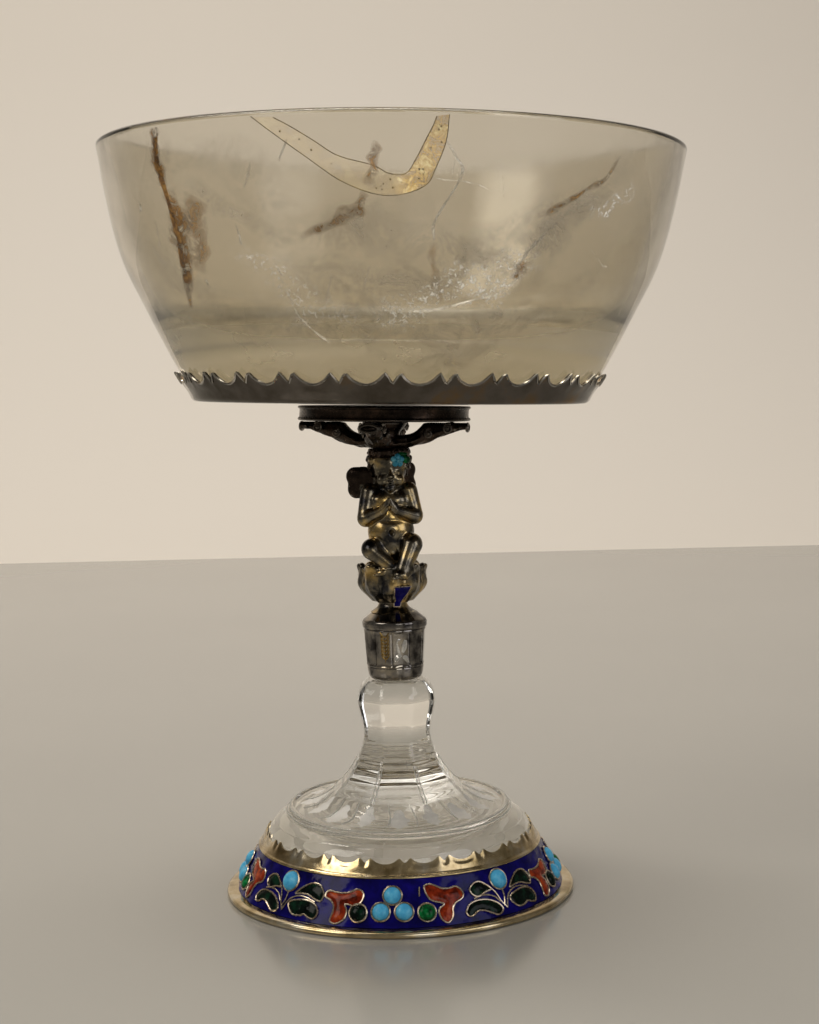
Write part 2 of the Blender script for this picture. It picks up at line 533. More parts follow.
# stains, veils and healed cracks as (angle, height) on the front wall, widths in mm, depth, strength
stains = {
    "rust": [
        ([(-46.3, 151.5), (-47.8, 148.8), (-47.8, 144.9), (-47.0, 140.5), (-46.2, 135.5), (-45.6, 130.5),
            (-47.2, 125.2),
          (-50.0, 119.5)], (0.8, 1.1, 1.3, 1.2, 0.7), 0.25, 2.0),
        ([(-46.3, 151.5), (-47.6, 150.2), (-47.9, 147.5), (-47.7, 144.9), (-47.6, 141.3)], (1.5, 2.4, 2.8),
            0.3, 1.0),
        ([(-46.0, 140.7), (-45.1, 137.6), (-45.1, 134.0), (-45.3, 130.5), (-47.2, 125.2), (-50.2, 120.7)],
         (3.6, 5.2, 5.4, 3.4, 1.8), 0.35, 1.0),
        ([(-40.8, 140.0), (-40.7, 135.6), (-41.0, 130.3), (-42.6, 125.9)], (3.0, 5.6, 5.4, 3.0), 0.55, 0.7),
        ([(45.7, 147.1), (42.4, 142.4), (38.6, 140.7), (35.4, 138.9), (32.3, 137.0), (28.1, 135.6)],
         (0.9, 1.3, 1.5, 1.1), 0.3, 0.8),
        ([(25.2, 124.6), (26.4, 126.1), (27.6, 127.6)], (1.6, 2.8, 1.4), 0.4, 0.9),
        ([(-4.5, 138.5), (-6.0, 136.2), (-8.2, 134.8), (-12.2, 133.2), (-17.1, 131.0)],
            (2.0, 2.6, 2.6, 1.4), 0.3, 0.9),
        ([(-2.7, 147.2), (-3.1, 144.7), (-3.4, 142.2), (-4.1, 139.7)], (1.4, 2.0, 2.0), 0.3, 0.8),
        ([(7.9, 130.5), (8.1, 127.1), (9.1, 123.7), (10.5, 120.3)], (1.4, 1.9, 1.9, 1.2), 0.5, 0.45),
    ],
    "cracks": [
        ([(9.3, 147.4), (11.0, 144.9), (12.6, 142.8), (11.8, 140.4), (10.3, 138.0), (8.7, 135.3),
            (7.7, 132.9),
          (7.9, 130.5)], (0.5, 0.7, 0.5, 0.5), 0.2, 0.9),
        ([(7.2, 141.2), (9.6, 140.9), (12.9, 140.6), (15.7, 140.2), (19.0, 138.8)], (0.4, 0.4), 0.3, 0.6),
        ([(32.8, 134.4), (30.1, 132.4), (27.8, 129.8), (26.2, 127.5), (24.8, 126.1)], (0.7, 1.0, 0.8), 0.3,
            0.8),
        ([(3.6, 118.5), (6.5, 118.5), (10.3, 119.1), (16.5, 120.4), (22.8, 121.9), (27.3, 125.5)],
            (0.6, 0.8, 0.6), 0.4, 0.75),
        ([(-22.1, 122.0), (-19.9, 117.0), (-13.5, 112.2)], (0.4, 0.5), 0.2, 0.6),
        ([(42.0, 131.0), (47.0, 128.0), (51.0, 127.5)], (0.5, 0.6), 0.4, 0.5),
    ],
    "veils": [
        ([(-41.7, 141.8), (-36.1, 138.8), (-29.9, 135.1), (-23.0, 132.0), (-17.2, 130.5)],
            (2.0, 4.0, 4.0, 2.0), 0.5, 0.6),
        ([(-24.0, 128.0), (-6.0, 123.5), (12.0, 125.0), (30.0, 131.0), (46.0, 141.0)],
            (6.0, 12.0, 13.0, 10.0, 5.0), 0.55, 0.8),
        ([(-34.0, 119.0), (-12.0, 115.0), (10.0, 114.5), (32.0, 118.0), (50.0, 128.0)],
            (6.0, 9.0, 10.0, 9.0, 5.0), 0.45, 0.7),
        ([(-22.0, 137.0), (-4.0, 131.0), (16.0, 130.0), (34.0, 137.0), (50.0, 147.0)],
            (5.0, 9.0, 10.0, 9.0, 4.0), 0.3, 0.55),
        ([(-60.0, 131.0), (-46.0, 122.0), (-30.0, 113.0)], (4.0, 8.0, 5.0), 0.4, 0.5),
        ([(-58.0, 147.0), (-36.0, 146.0), (-14.0, 133.0), (8.0, 137.0)], (9.0, 12.0, 8.0), 0.7, 0.32),
        ([(70.0, 124.0), (100.0, 131.0), (130.0, 127.0), (160.0, 138.0)], (6.0, 13.0, 12.0, 7.0), 0.5, 0.45),
        ([(190.0, 130.0), (215.0, 122.0), (245.0, 128.0), (275.0, 140.0)], (8.0, 12.0, 12.0, 6.0), 0.5, 0.45),
        ([(150.0, 118.0), (180.0, 115.0), (210.0, 117.0)], (4.0, 7.0, 4.0), 0.5, 0.4),
    ],
    "sparks": [
        ([(40.0, 136.0), (46.0, 138.5), (52.0, 142.0)], (3.0, 4.0, 2.5), 0.2, 0.9),
        ([(-4.0, 117.0), (8.0, 121.0), (20.0, 124.5), (31.0, 128.0)], (7.0, 9.0, 9.0, 6.0), 0.35, 0.95),
        ([(-32.0, 131.0), (-20.0, 122.0), (-4.0, 114.5)], (5.0, 8.0, 6.0), 0.4, 0.5),
        ([(95.0, 120.0), (120.0, 126.0), (150.0, 121.0)], (6.0, 8.0, 6.0), 0.4, 0.5),
        ([(200.0, 117.0), (230.0, 125.0), (262.0, 133.0)], (6.0, 8.0, 6.0), 0.4, 0.5),
    ],
}
draw = np.random.default_rng(11)
for i in range(60):  # short fine growth streaks all round
    angle, height = float(draw.uniform(-180, 180)), float(draw.uniform(113, 147))
    slant, length = float(draw.uniform(-2.5, 2.5)), float(draw.uniform(1.5, 6))
    path = [(angle + slant * t, height + length * (0.5 - t)) for t in (0, 0.35, 0.7, 1)]
    stains["cracks"].append((path, (0.15, 0.32, 0.15), float(draw.uniform(0.1, 0.8)),
        float(draw.uniform(0.25, 0.8))))
wallPieces("bowl_iron_stains", rustStain, stains["rust"])
wallPieces("bowl_healed_cracks", crackVeil, stains["cracks"])
wallPieces("bowl_cloud_veils", veilCloud, stains["veils"])
wallPieces("bowl_tiny_flaws", sparkVeil, stains["sparks"])

# the old repair: a glued-in shard, its joint runs slantwise through the wall
glue = {
    "outer": [(-24.6, 151.7), (-19.7, 148.0), (-15.1, 144.7), (-9.7, 140.9), (-5.0, 138.8), (-1.2, 138.0),
        (2.7, 138.4),
              (6.2, 140.0), (7.6, 142.7), (9.2, 147.1), (9.6, 151.7)],
    "inner": [(-21.0, 151.7), (-18.3, 150.3), (-14.1, 147.8), (-9.6, 145.1), (-3.5, 143.5), (-0.4, 142.1),
        (2.6, 142.2),
              (4.4, 144.8), (6.3, 148.5), (7.2, 150.3), (7.7, 151.7)],
    "edge": 0.09,
    "bubbles": 26,
}
glueOuter, glueInner = smoothLine(glue["outer"], 10), smoothLine(glue["inner"], 10)
glueRows, glueFade = [], []
for low, high in zip(glueOuter, glueInner):
    row = []
    for k in range(9):
        s = k / 8
        spot = low.lerp(high, s)
        row.append(wallPoint(spot[0], min(spot[1], 151.7), 0.05 + 0.88 * s))
        glueFade.append(0.22 + 0.6 * float(smoothStep(spot[0], -1, 4)))  # thickest in the right limb
    glueRows.append(row)
meshPiece("bowl_glue_joint", patch(glueRows), agedGlue, onBowl, fade=glueFade)
edgeShapes = [tube([row[k] for row in glueRows], glue["edge"], 6) for k in (0, 8)]
draw = np.random.default_rng(7)
for i in range(glue["bubbles"]):
    row = glueRows[int(draw.integers(4, len(glueRows) - 4))]
    spot = row[int(draw.integers(2, 7))]
    edgeShapes.append(ball(spot, float(draw.uniform(0.08, 0.22)), sides=10))
edgeShape = gather(edgeShapes)
meshPiece("bowl_glue_edges", edgeShape, glueEdge, onBowl, fade=[0.75] * len(edgeShape[0]))
print("bowl done")


# silver dish under the bowl

def notchedEdge(turns):
    # one repeat of the snipped edge: a V nick, two points beside it and a round scallop between them
    t = turns % 1.0
    nick = 0.15
    if t < nick or t > 1 - nick:
        return 0.95 * (1 - min(t, 1 - t) / nick)
    s = (t - 0.5) / (0.5 - nick)
    return max(0.0, 1 - s * s) ** 0.72


dishSet = {
    "repeats": 27,
    "perRepeat": 20,
    "depth": 2.3,
    "turn": 0.5,  # a nick almost at the front
    "profile": [(0, 100.95), (20, 101.2), (36, 101.4), (39.2, 101.5), (39.95, 101.62), (40.3, 102.0),
        (41.05, 103.4),
                (42.3, 105.3), (43.7, 107.4)],
    "sheet": 0.55,
    "lip": 0.26,
}
dishLine = [tuple(p) for p in smoothLine(dishSet["profile"], 5)]
dishInner = [(r - (dishSet["sheet"] if z > 101.9 else 0.0), z + (0.5 if z <= 101.9 else 0.15))
             for r, z in dishLine[::-1] if r > 30]
dishSides = dishSet["repeats"] * dishSet["perRepeat"]


def dishCut(radius, height, angle, row):
    turns = (math.degrees(angle) - dishSet["turn"]) * dishSet["repeats"] / 360
    drop = dishSet["depth"] * notchedEdge(turns) * float(smoothStep(height, 103.0, 107.4))
    ripple = (0.2 + 0.05 * math.sin(5 * angle + 0.4)) * float(smoothStep(height, 101.5, 102.2))
    return radius - 0.62 * drop + ripple, height - drop


dishLip = []
for i in range(dishSides):
    angle = 2 * math.pi * i / dishSides
    r, z = dishCut(43.72, 107.42, angle, 0)
    dishLip.append((r * math.sin(angle), -r * math.cos(angle), z))
dishBody = turned(dishLine + dishInner + [(0, 101.55)], dishSides, dishCut)
dishPiece = meshPiece("bowl_mount_dish", gather([dishBody, tube(dishLip, dishSet["lip"], 6, loop=True)]),
    dishSilver,
                      onBowl, ["bowl_mount"], sharp=50)
dishPiece.data.materials.append(dullSilver)
dishPiece.data.materials.append(potSilver)
lipStart = len(dishPiece.data.polygons) - 6 * dishSides
for face in dishPiece.data.polygons:
    row = face.index // dishSides
    face.material_index = 2 if face.index >= lipStart else int(row >= len(dishLine))


# drum collar

drumSet = {"sides": 160, "low": [(0, 97.75), (17.2, 97.75)], "top": [(17.2, 100.72), (0, 100.72)]}
drumLine = drumSet["low"] + [(17.55, 97.8), (17.72, 98.0), (17.72, 98.15), (17.58, 98.32), (17.42, 98.42)]
drumLine += [(17.36, z) for z in (98.7, 99.1, 99.5, 99.9)]
drumLine += [(17.42, 100.12), (17.58, 100.2), (17.74, 100.36), (17.72, 100.52),
    (17.55, 100.7)] + drumSet["top"]


def drumDents(radius, height, angle, row):
    dent = 0.05 * math.sin(4 * angle + 0.6) + 0.035 * math.sin(9 * angle + 2 * height)
    return (radius + dent if 17 < radius else radius), height


meshPiece("drum_collar_band", turned(drumLine, drumSet["sides"], drumDents), blackSilver,
    onDrum,
          ["drum_collar"], sharp=35)


# leafy bracket crown under the drum

crownSet = {
    "arms": 4,
    "turn": -10,
    "width": 2.9,
    "stations": 46,
    "hub": [(0, 92.1), (3.0, 92.1), (3.7, 92.3), (4.4, 92.9), (4.1, 93.4), (3.5, 93.8), (3.2, 94.6),
        (3.3, 95.4), (3.9, 96.1),
            (4.3, 96.6), (4.3, 97.4), (0, 97.4)],
}
armLow = smoothLine([(1.0, 92.25), (5.0, 92.3), (8.1, 93.0), (11.2, 94.2), (13.8, 95.3), (16.0, 95.9),
    (17.3, 96.0)], 8)
armTop = smoothLine([(1.0, 94.8), (4.4, 94.9), (5.8, 95.2), (6.9, 95.8), (7.8, 96.7), (8.7, 97.35),
    (13.0, 97.4), (17.3, 97.4)], 8)


def crownArm():
    rows = []
    for i in range(crownSet["stations"]):
        t = i / (crownSet["stations"] - 1)
        r = 1.0 + 16.3 * t
        low = np.interp(r, [p[0] for p in armLow], [p[1] for p in armLow])
        top = np.interp(r, [p[0] for p in armTop], [p[1] for p in armTop])
        lobe = abs(math.sin(math.pi * (0.15 + 3.4 * t)))  # three leaf lobes along the arm
        width = crownSet["width"] * (0.5 + 0.5 * math.sin(math.pi * min(1, 0.25 + t))) * (0.62 + 0.38 * lobe)
        width = width if t < 0.9 else 2.3 + 0.3 * math.sin(30 * t)
        row = []
        for k in range(32):
            a = 2 * math.pi * k / 32
            c, s = math.cos(a), math.sin(a)
            across = math.copysign(abs(c) ** 0.7, c)
            up = math.copysign(abs(s) ** 0.8, s)
            vein = 0.16 * math.sin(9 * across + 22 * t) * (1 - abs(across) ** 4)  # leaf veins fanning out
            groove = -0.28 * math.exp(-(across / 0.16) ** 2)  # midrib groove
            z = (low + top) / 2 + (top - low) / 2 * up
            if s < 0:
                z -= vein + groove
            row.append((r, across * width * (1 - 0.12 * (s > 0)), z))
        rows.append(row)
    shapes = [patch(rows, loopCols=True)]
    for side in (-1, 1):
        for center, size, start in (((13.6, 96.3), 1.0, 1.0), ((9.6, 95.2), 0.8, 2.0)):
            spiral = []
            for i in range(40):
                t = i / 39
                reach = size * (1 - 0.78 * t)
                a = start + 10.5 * t
                spiral.append((center[0] + reach * math.cos(a), side * (2.35 + 0.35 * t),
                    center[1] + reach * math.sin(a)))
            shapes.append(tube(spiral, [0.3 - 0.1 * i / 39 for i in range(40)], 8))
            shapes.append(ball((center[0], side * 2.7, center[1]), 0.3, sides=12))
    ring = [(17.3, 1.75 * math.cos(t), 96.45 + 0.75 * math.sin(t)) for t in (2 * math.pi * k / 40 for k in range(40))]
    shapes.append(tube(ring, 0.3, 8, loop=True))  # the outer end is an oval scroll
    shapes.append(ball((17.0, 0, 96.45), (0.5, 1.4, 0.55)))
    return gather(shapes)


crownShapes = [turned([tuple(p) for p in smoothLine(crownSet["hub"], 4)], 72)]
for k in range(crownSet["arms"]):
    crownShapes.append(placed(crownArm(), Matrix.Rotation(math.radians(90 * k + crownSet["turn"]), 4, "Z")))
meshPiece("bracket_crown_leaves", gather(crownShapes), blackSilver, onDrum, ["bracket_crown"])
print("dish, drum and crown done")


# seated child, cast in silver

puttoSet = {
    "step": 0.142,
    "polish": 2,
    "low": (-10.2, -9.4, 64.4),
    "high": (7.6, 6.6, 93.0),
    # each group flows together over its blend, in mm; a form of four is a limb, one of two or three a ball
    "trunk": (1.0, [
        ((0, 0.2, 81.2), (4.2, 3.1, 3.9)), ((0, 0.0, 78.2), (4.4, 3.5, 4.2)),
            ((0.2, -0.5, 75.0), (4.8, 3.9, 4.2)),
        ((-1.7, -1.7, 81.2), (1.9, 1.4, 1.7)), ((1.7, -1.7, 81.2), (1.9, 1.4, 1.7)),
            ((0, 0.3, 71.4), (4.9, 4.2, 3.9)),
        ((-2.1, 2.7, 70.4), (2.4, 2.1, 2.4)), ((2.1, 2.7, 70.4), (2.4, 2.1, 2.4)),
        ((-2.0, 2.2, 82.6), (1.5, 0.9, 1.9)), ((2.0, 2.2, 82.6), (1.5, 0.9, 1.9)),  # shoulder blades
        ((0.1, 0.2, 85.2), (0, 0.3, 82.6), 2.0, 2.4),
    ]),
    "head": (0.5, [
        ((0.2, -0.3, 87.7), (3.4, 3.5, 3.7)), ((0.3, -1.5, 86.2), (2.7, 2.4, 2.9)),
            ((0.3, -1.2, 88.9), (2.9, 2.5, 2.0)),
        ((-1.2, -2.7, 85.6), (1.35, 1.2, 1.3)), ((1.8, -2.7, 85.6), (1.35, 1.2, 1.3)),
            ((0.3, -3.1, 83.9), (0.95, 0.8, 0.75)),
        ((0.1, 0.5, 89.6), (4.35, 4.1, 2.9)), ((0.1, 0.4, 91.4), (3.9, 3.7, 1.3)),  # cap of hair
    ]),
    "arms": (0.55, [
        ((-4.0, 0.0, 83.0), (-5.1, -1.3, 78.0), 1.95, 1.6),
            ((-5.0, -1.7, 77.5), (-1.5, -4.4, 79.4), 1.55, 1.1),
        ((3.9, 0.0, 83.1), (5.2, -1.3, 78.5), 1.95, 1.6), ((5.2, -1.7, 77.9), (1.5, -4.4, 79.5), 1.55, 1.1),
    ]),
    "legs": (0.6, [
        ((-2.5, 0.0, 71.0), (-3.9, -3.6, 71.7), 2.6, 2.1), ((-3.8, -4.2, 71.3), (0.8, -5.5, 67.6), 1.85, 1.4),
        ((2.5, 0.0, 71.2), (4.4, -3.5, 72.6), 2.6, 2.15), ((4.4, -4.3, 72.3), (2.4, -6.4, 67.2), 2.05, 1.6),
        ((2.1, -7.0, 66.5), (1.8, 1.6, 1.0), (0, 12, 10)), ((3.4, -5.9, 67.3), (1.5, 1.4, 1.1)),
        ((-1.6, -5.6, 67.0), (1.7, 1.2, 0.9), (0, -14, 0)),
    ]),
    "hands": (0.3, [
        ((-0.95, -4.9, 80.2), (0.95, 0.8, 1.2), (0, 22, 0)),
            ((0.95, -4.9, 80.3), (0.95, 0.8, 1.2), (0, -22, 0)),
    ]),
    "face": (0.22, [
        ((0.33, -3.6, 87.8), (0.33, -4.05, 86.6), 0.3, 0.42), ((0.33, -4.2, 86.4), (0.5, 0.5, 0.42)),
        ((-0.08, -3.95, 86.3), 0.28), ((0.74, -3.95, 86.3), 0.28),
        ((0.33, -3.85, 85.3), (0.7, 0.36, 0.22)), ((0.33, -3.78, 84.85), (0.55, 0.38, 0.26)),
        ((-0.95, -3.4, 87.2), (0.6, 0.3, 0.38)), ((1.6, -3.35, 87.2), (0.6, 0.3, 0.38)),
    ]),
    "wings": (0.4, [
        ((-5.3, 2.5, 84.9), (3.3, 0.9, 3.3), (0, 0, -18)), ((-7.0, 3.0, 86.1), (2.0, 0.8, 2.0), (0, 0, -18)),
        ((-6.8, 3.0, 83.5), (1.9, 0.75, 2.0), (0, 0, -18)), ((3.3, 3.2, 85.4), (2.5, 0.85, 3.2), (0, 0, 42)),
        ((4.4, 4.1, 87.2), (1.5, 0.7, 1.6), (0, 0, 42)), ((4.5, 4.2, 84.0), (1.4, 0.7, 1.6), (0, 0, 42)),
    ]),
    "curls": ((88.3, 3.8, 10, 64), (89.8, 4.1, 12, 48), (91.2, 3.75, 13, 20), (86.9, 3.25, 8, 90)),
        # height, reach, count, gap
    "feathers": (
        ((-3.4, 2.2, 84.4), [(-7.4, 3.4, 87.0), (-8.0, 3.5, 85.6), (-7.8, 3.5, 84.0), (-7.0, 3.4, 82.6),
            (-5.8, 3.2, 82.0)]),
        ((2.2, 2.4, 84.6), [(4.7, 4.8, 88.0), (5.1, 5.1, 86.5), (5.0, 5.1, 84.8), (4.5, 4.8, 83.3),
            (3.7, 4.2, 82.6)]),
    ),
}
forms = [(form, puttoSet[group][0]) for group in ("trunk", "head", "arms", "legs", "hands", "face", "wings")
         for form in puttoSet[group][1]]
for k in range(4):  # clasped fingers of both hands
    for side in (-1, 1):
        forms.append((((side * (1.65 - 0.2 * k), -5.35, 79.5 + 0.45 * k),
            (side * (0.3 - 0.05 * k), -5.85, 80.9 + 0.38 * k),
                       0.29, 0.25), 0.1))
for k in range(5):  # toes of the front foot and of the tucked one
    forms.append((((0.6 + 0.66 * k, -8.3 + 0.09 * k * k, 66.05 + 0.06 * k), (0.36, 0.5, 0.38)), 0.1))
    forms.append((((-3.3 + 0.1 * k, -6.1 + 0.35 * k, 66.5 + 0.05 * k), (0.5, 0.28, 0.32)), 0.1))
for row, (height, reach, count, start) in enumerate(puttoSet["curls"]):
    for k in range(count):  # curls in rows, leaving the face free
        a = math.radians(start + (360 - 2 * start) * (k + 0.5 * (row % 2)) / count)
        out = Vector((math.sin(a), -math.cos(a), 0.1)).normalized()
        over = Vector((math.cos(a), math.sin(a), 0))
        rise = out.cross(over)
        spot = Vector((0.1 + reach * math.sin(a), 0.4 - reach * math.cos(a), height))
        coil = [spot + out * 0.5 * t + (over * math.cos(8 * t + k) + rise * math.sin(8 * t + k)) * (0.88 * (1 - 0.8 * t))
                for t in (i / 10 for i in range(11))]
        forms += [((p, q, 0.33, 0.31), 0.08) for p, q in zip(coil, coil[1:])]
for root, tips in puttoSet["feathers"]:  # on the back of each wing
    for tip in tips:
        middle = Vector(root).lerp(Vector(tip), 0.55) + Vector((0, 0.5, 0))
        forms += [((middle, tip, 0.62, 0.36), 0.12), ((root, middle, 0.5, 0.62), 0.12)]


def meltForms(forms, low, high, step):
    # distance to the flowing forms at every point of a fine grid
    axes = [np.arange(low[k], high[k], step) for k in range(3)]
    field = np.full([len(axis) for axis in axes], 5.0)
    for form, blend in forms:
        start = np.array(form[0])
        end = np.array(form[1]) if len(form) == 4 else start
        radii = np.array(form[2:4] if len(form) == 4 else form[1]) * np.ones(3 if len(form) < 4 else 2)
        edge = radii.max() + blend + 2 * step
        window = tuple(slice(*np.searchsorted(axes[k],
            (min(start[k], end[k]) - edge, max(start[k], end[k]) + edge)))
                       for k in range(3))
        spots = np.stack(np.meshgrid(*[axes[k][window[k]] for k in range(3)], indexing="ij"), axis=-1) - start
        if len(form) == 4:
            along = end - start
            t = np.clip(spots @ along / (along @ along), 0, 1)
            gap = np.linalg.norm(spots - t[..., None] * along,
                axis=-1) - (radii[0] + (radii[1] - radii[0]) * t)
        else:
            turn = form[2] if len(form) > 2 else (0, 0, 0)
            local = spots @ np.array(Euler([math.radians(t) for t in turn]).to_matrix())
            near = np.linalg.norm(local / radii, axis=-1)
            slope = np.linalg.norm(local / radii ** 2, axis=-1)
            gap = np.where(near < 0.1, -radii.min(), near * (near - 1) / np.maximum(slope, 1e-6))
        mix = np.clip(0.5 + 0.5 * (field[window] - gap) / blend, 0, 1)
        field[window] = field[window] * (1 - mix) + gap * mix - blend * mix * (1 - mix)
    return field


def netSkin(field, low, step, polish):
    # one point in each grid cell that the skin passes through, joined into quads
    cells = tuple(n - 1 for n in field.shape)
    total, count = np.zeros(cells + (3,)), np.zeros(cells)
    ringOrder = ((0, 0), (-1, 0), (-1, -1), (0, -1))
    quads = []
    for axis in range(3):
        others = [k for k in range(3) if k != axis]
        ahead = np.moveaxis(field, axis, 0)[1:]
        behind = np.moveaxis(field, axis, 0)[:-1]
        hit = np.moveaxis((ahead < 0) != (behind < 0), 0, axis)
        spots = np.argwhere(hit)
        a = np.moveaxis(behind, 0, axis)[hit]
        b = np.moveaxis(ahead, 0, axis)[hit]
        exact = spots.astype(float)
        exact[:, axis] += a / (a - b)
        ring = []
        for shift in ringOrder:
            cell = spots.copy()
            cell[:, others] += shift
            np.add.at(total, tuple(cell.T), exact)
            np.add.at(count, tuple(cell.T), 1)
            ring.append(cell)
        quads.append((ring, (a < 0) != (axis == 1)))
    used = count > 0
    number = np.full(cells, -1)
    number[used] = np.arange(used.sum())
    points = total[used] / count[used][:, None] * step + np.array(low)
    faces = []
    for ring, outward in quads:
        table = np.stack([number[tuple(cell.T)] for cell in ring], axis=1)
        faces.append(np.where(outward[:, None], table, table[:, ::-1]))
    faces = np.concatenate(faces)
    for _ in range(polish):
        near, links = np.zeros_like(points), np.zeros(len(points))
        for k in range(4):
            for m in ((k + 1) % 4, (k - 1) % 4):
                np.add.at(near, faces[:, k], points[faces[:, m]])
                np.add.at(links, faces[:, k], 1)
        points = 0.5 * points + 0.5 * near / links[:, None]
    return points, faces


puttoField = meltForms(forms, puttoSet["low"], puttoSet["high"], puttoSet["step"])
skin, skinFaces = netSkin(puttoField, puttoSet["low"], puttoSet["step"], puttoSet["polish"])


def carve(spot, size, push):
    # presses a soft hollow, or raises a swelling, round a point
    pull = np.exp(-(((skin - np.array(spot)) / np.array(size)) ** 2).sum(axis=1))
    skin[:] += pull[:, None] * np.array(push)


carve((0.3, -4.3, 75.0), (0.4, 1.2, 0.45), (0, 0.9, 0))  # navel
carve((0.2, -3.6, 77.3), (3.0, 2.0, 0.45), (0, 0.18, 0))  # fold under the chest
carve((0.33, -4.2, 85.08), (0.65, 0.8, 0.12), (0, 0.2, 0))  # line of the lips
carve((0.0, 3.4, 78.0), (0.4, 1.5, 5.0), (0, -0.4, 0))  # spine
for x in (-0.95, 1.65):
    carve((x, -3.9, 86.95), (0.6, 0.8, 0.14), (0, 0.16, 0))  # closed lids
puttoPiece = meshPiece("putto_cast", (skin.tolist(), skinFaces.tolist()), puttoSilver,
    onPutto, ["putto"],
                       sharp=75)
puttoPiece.data.materials.append(blackSilver)
middles = skin[skinFaces].mean(axis=1)
onWing = (np.abs(middles[:, 0]) > 3.2) & (middles[:, 2] > 81) & (
    (middles[:, 1] > 1.9) | (middles[:, 0] < -6.1) | ((middles[:, 1] > 1.0) & (middles[:, 2] > 84.5)))
onHair = (np.hypot(middles[:, 0] - 0.1, middles[:, 1] - 0.4) > 3.05) & (middles[:, 2] > 86.4) & (middles[:,
    1] > -1.8)
puttoPiece.data.polygons.foreach_set("material_index",
    (onWing | onHair | (middles[:, 2] > 90.2)).astype(np.int32))

# enamel flower and leaf on the forehead
flowerSet = {"center": (1.85, -3.75, 89.7), "petals": 5, "petal": 0.62, "reach": 0.82}
flowerShapes = []
for k in range(flowerSet["petals"]):
    a = 2 * math.pi * k / flowerSet["petals"] + 0.3
    center = Vector(flowerSet["center"]) + Vector((math.cos(a), 0.25 * math.cos(a),
        math.sin(a))) * flowerSet["reach"]
    flowerShapes.append(ball(center, (flowerSet["petal"], 0.42, flowerSet["petal"]), sides=16))
flowerShapes.append(ball(Vector(flowerSet["center"]) + Vector((0, -0.25, 0)), 0.36, sides=14))
meshPiece("putto_flower_enamel", gather(flowerShapes), flowerEnamel, onPutto)
leafShapes = [ball((3.55, -2.75, 89.8), (1.15, 0.55, 0.8), (0, 15, 35)),
    ball((2.7, -2.9, 90.9), (1.3, 0.6, 0.42), (0, 0, 25))]
meshPiece("putto_leaf_enamel", gather(leafShapes), greenEnamel, onPutto)
print("putto done:", len(skin), "points")


# leaf cup that carries the child

cupSet = {
    "leaves": 8,
    "core": [(0, 58.25), (4.7, 58.25), (4.1, 58.6), (3.35, 59.2), (3.0, 59.9), (3.1, 60.6), (3.9, 61.4),
        (5.3, 62.4), (6.0, 63.6),
             (6.0, 64.9), (5.2, 65.6), (0, 65.5)],
    "leaf": [(3.0, 60.4), (4.2, 61.5), (5.4, 62.7), (6.0, 64.2), (5.95, 65.8), (6.0, 67.0), (6.2, 67.8),
        (6.45, 68.3)],
    "width": 2.75,
    "thick": 0.95,
}
cupCore = [cupSet["core"][0]] + [tuple(p) for p in smoothLine(cupSet["core"][1:-1], 5)] + [cupSet["core"][-1]]
cupShapes = [turned(cupCore, 64)]
leafLine = smoothLine(cupSet["leaf"], 5)


def cupLeaf(turn, size, inward, lean):
    # one fleshy leaf: a midrib, side veins, a rounded tip that curls outwards
    tables = []
    for face in (1, -1):
        table = []
        for i, (r, z) in enumerate(leafLine):
            t = i / (len(leafLine) - 1)
            tip = math.sqrt(max(0.0, 1 - max(0.0, (t - 0.72) / 0.28) ** 2))
            half = cupSet["width"] * size * math.sin(math.pi * (0.2 + 0.5 * t)) ** 0.8 * (1 + 0.06 * math.sin(24 * t)) * tip
            row = []
            for j in range(15):
                s = j / 7 - 1
                body = cupSet["thick"] * (1 - s * s) ** 0.6 * (0.4 + 0.6 * tip)
                vein = 0.2 * math.exp(-(s / 0.16) ** 2) + 0.07 * math.cos(8 * abs(s) - 15 * t) * (1 - s * s)
                reach = r - inward + (body + vein * tip if face > 0 else -0.5 * body) - 0.35 * s * s
                a = math.radians(turn) + s * half / max(r, 3.2)
                row.append((reach * math.sin(a), -reach * math.cos(a),
                    z * size + 63 * (1 - size) + lean * t * t - 0.5 * t * s * s))
            table.append(row if face > 0 else row[::-1])
        tables.append(patch(table))
    return gather(tables)


for k in range(cupSet["leaves"]):
    turn = 360 * k / cupSet["leaves"]
    lean = 0.3 * math.sin(2.1 * k)  # no two leaves curl quite alike
    cupShapes.append(cupLeaf(turn, 1.0, 0.0, lean))
    a = math.radians(turn)
    cupShapes.append(ball((6.25 * math.sin(a), -6.25 * math.cos(a), 67.5 + lean), (1.35, 0.8, 0.95),
        (0, 0, turn)))  # rolled tip
    cupShapes.append(cupLeaf(turn + 180 / cupSet["leaves"], 0.9, 0.55, 0.2 * math.cos(1.7 * k)))
meshPiece("leaf_cup_chased", gather(cupShapes), puttoSilver, onCup, ["leaf_cup"])

# blue enamel panel let into the front of the cup
panelRows = []
for i in range(15):
    t = i / 14
    z = 59.6 + 4.5 * t
    r = float(np.interp(z, [59.3, 60.6, 61.6, 62.6, 63.6, 65.2], [3.7, 3.9, 5.1, 6.3, 6.95, 7.1]))
    half = 10 + 4.5 * t
    row = []
    for j in range(11):
        s = j / 5 - 1
        a = math.radians(13 + 5 * t + half * s)
        reach = r + 0.3 * (1 - s ** 4) * (1 - (2 * t - 1) ** 6)
        row.append((reach * math.sin(a), -reach * math.cos(a), z))
    panelRows.append(row)
meshPiece("leaf_cup_panel_enamel", patch(panelRows), cobaltEnamel, onCup)
panelEdge = [row[0] for row in panelRows] + panelRows[-1][1:-1] + [row[-1] for row in panelRows[::-1]] + panelRows[0][-2:0:-1]
meshPiece("leaf_cup_panel_wire", tube(panelEdge, 0.13, 8, loop=True), cellWire, onCup)


# little tub with chased panels

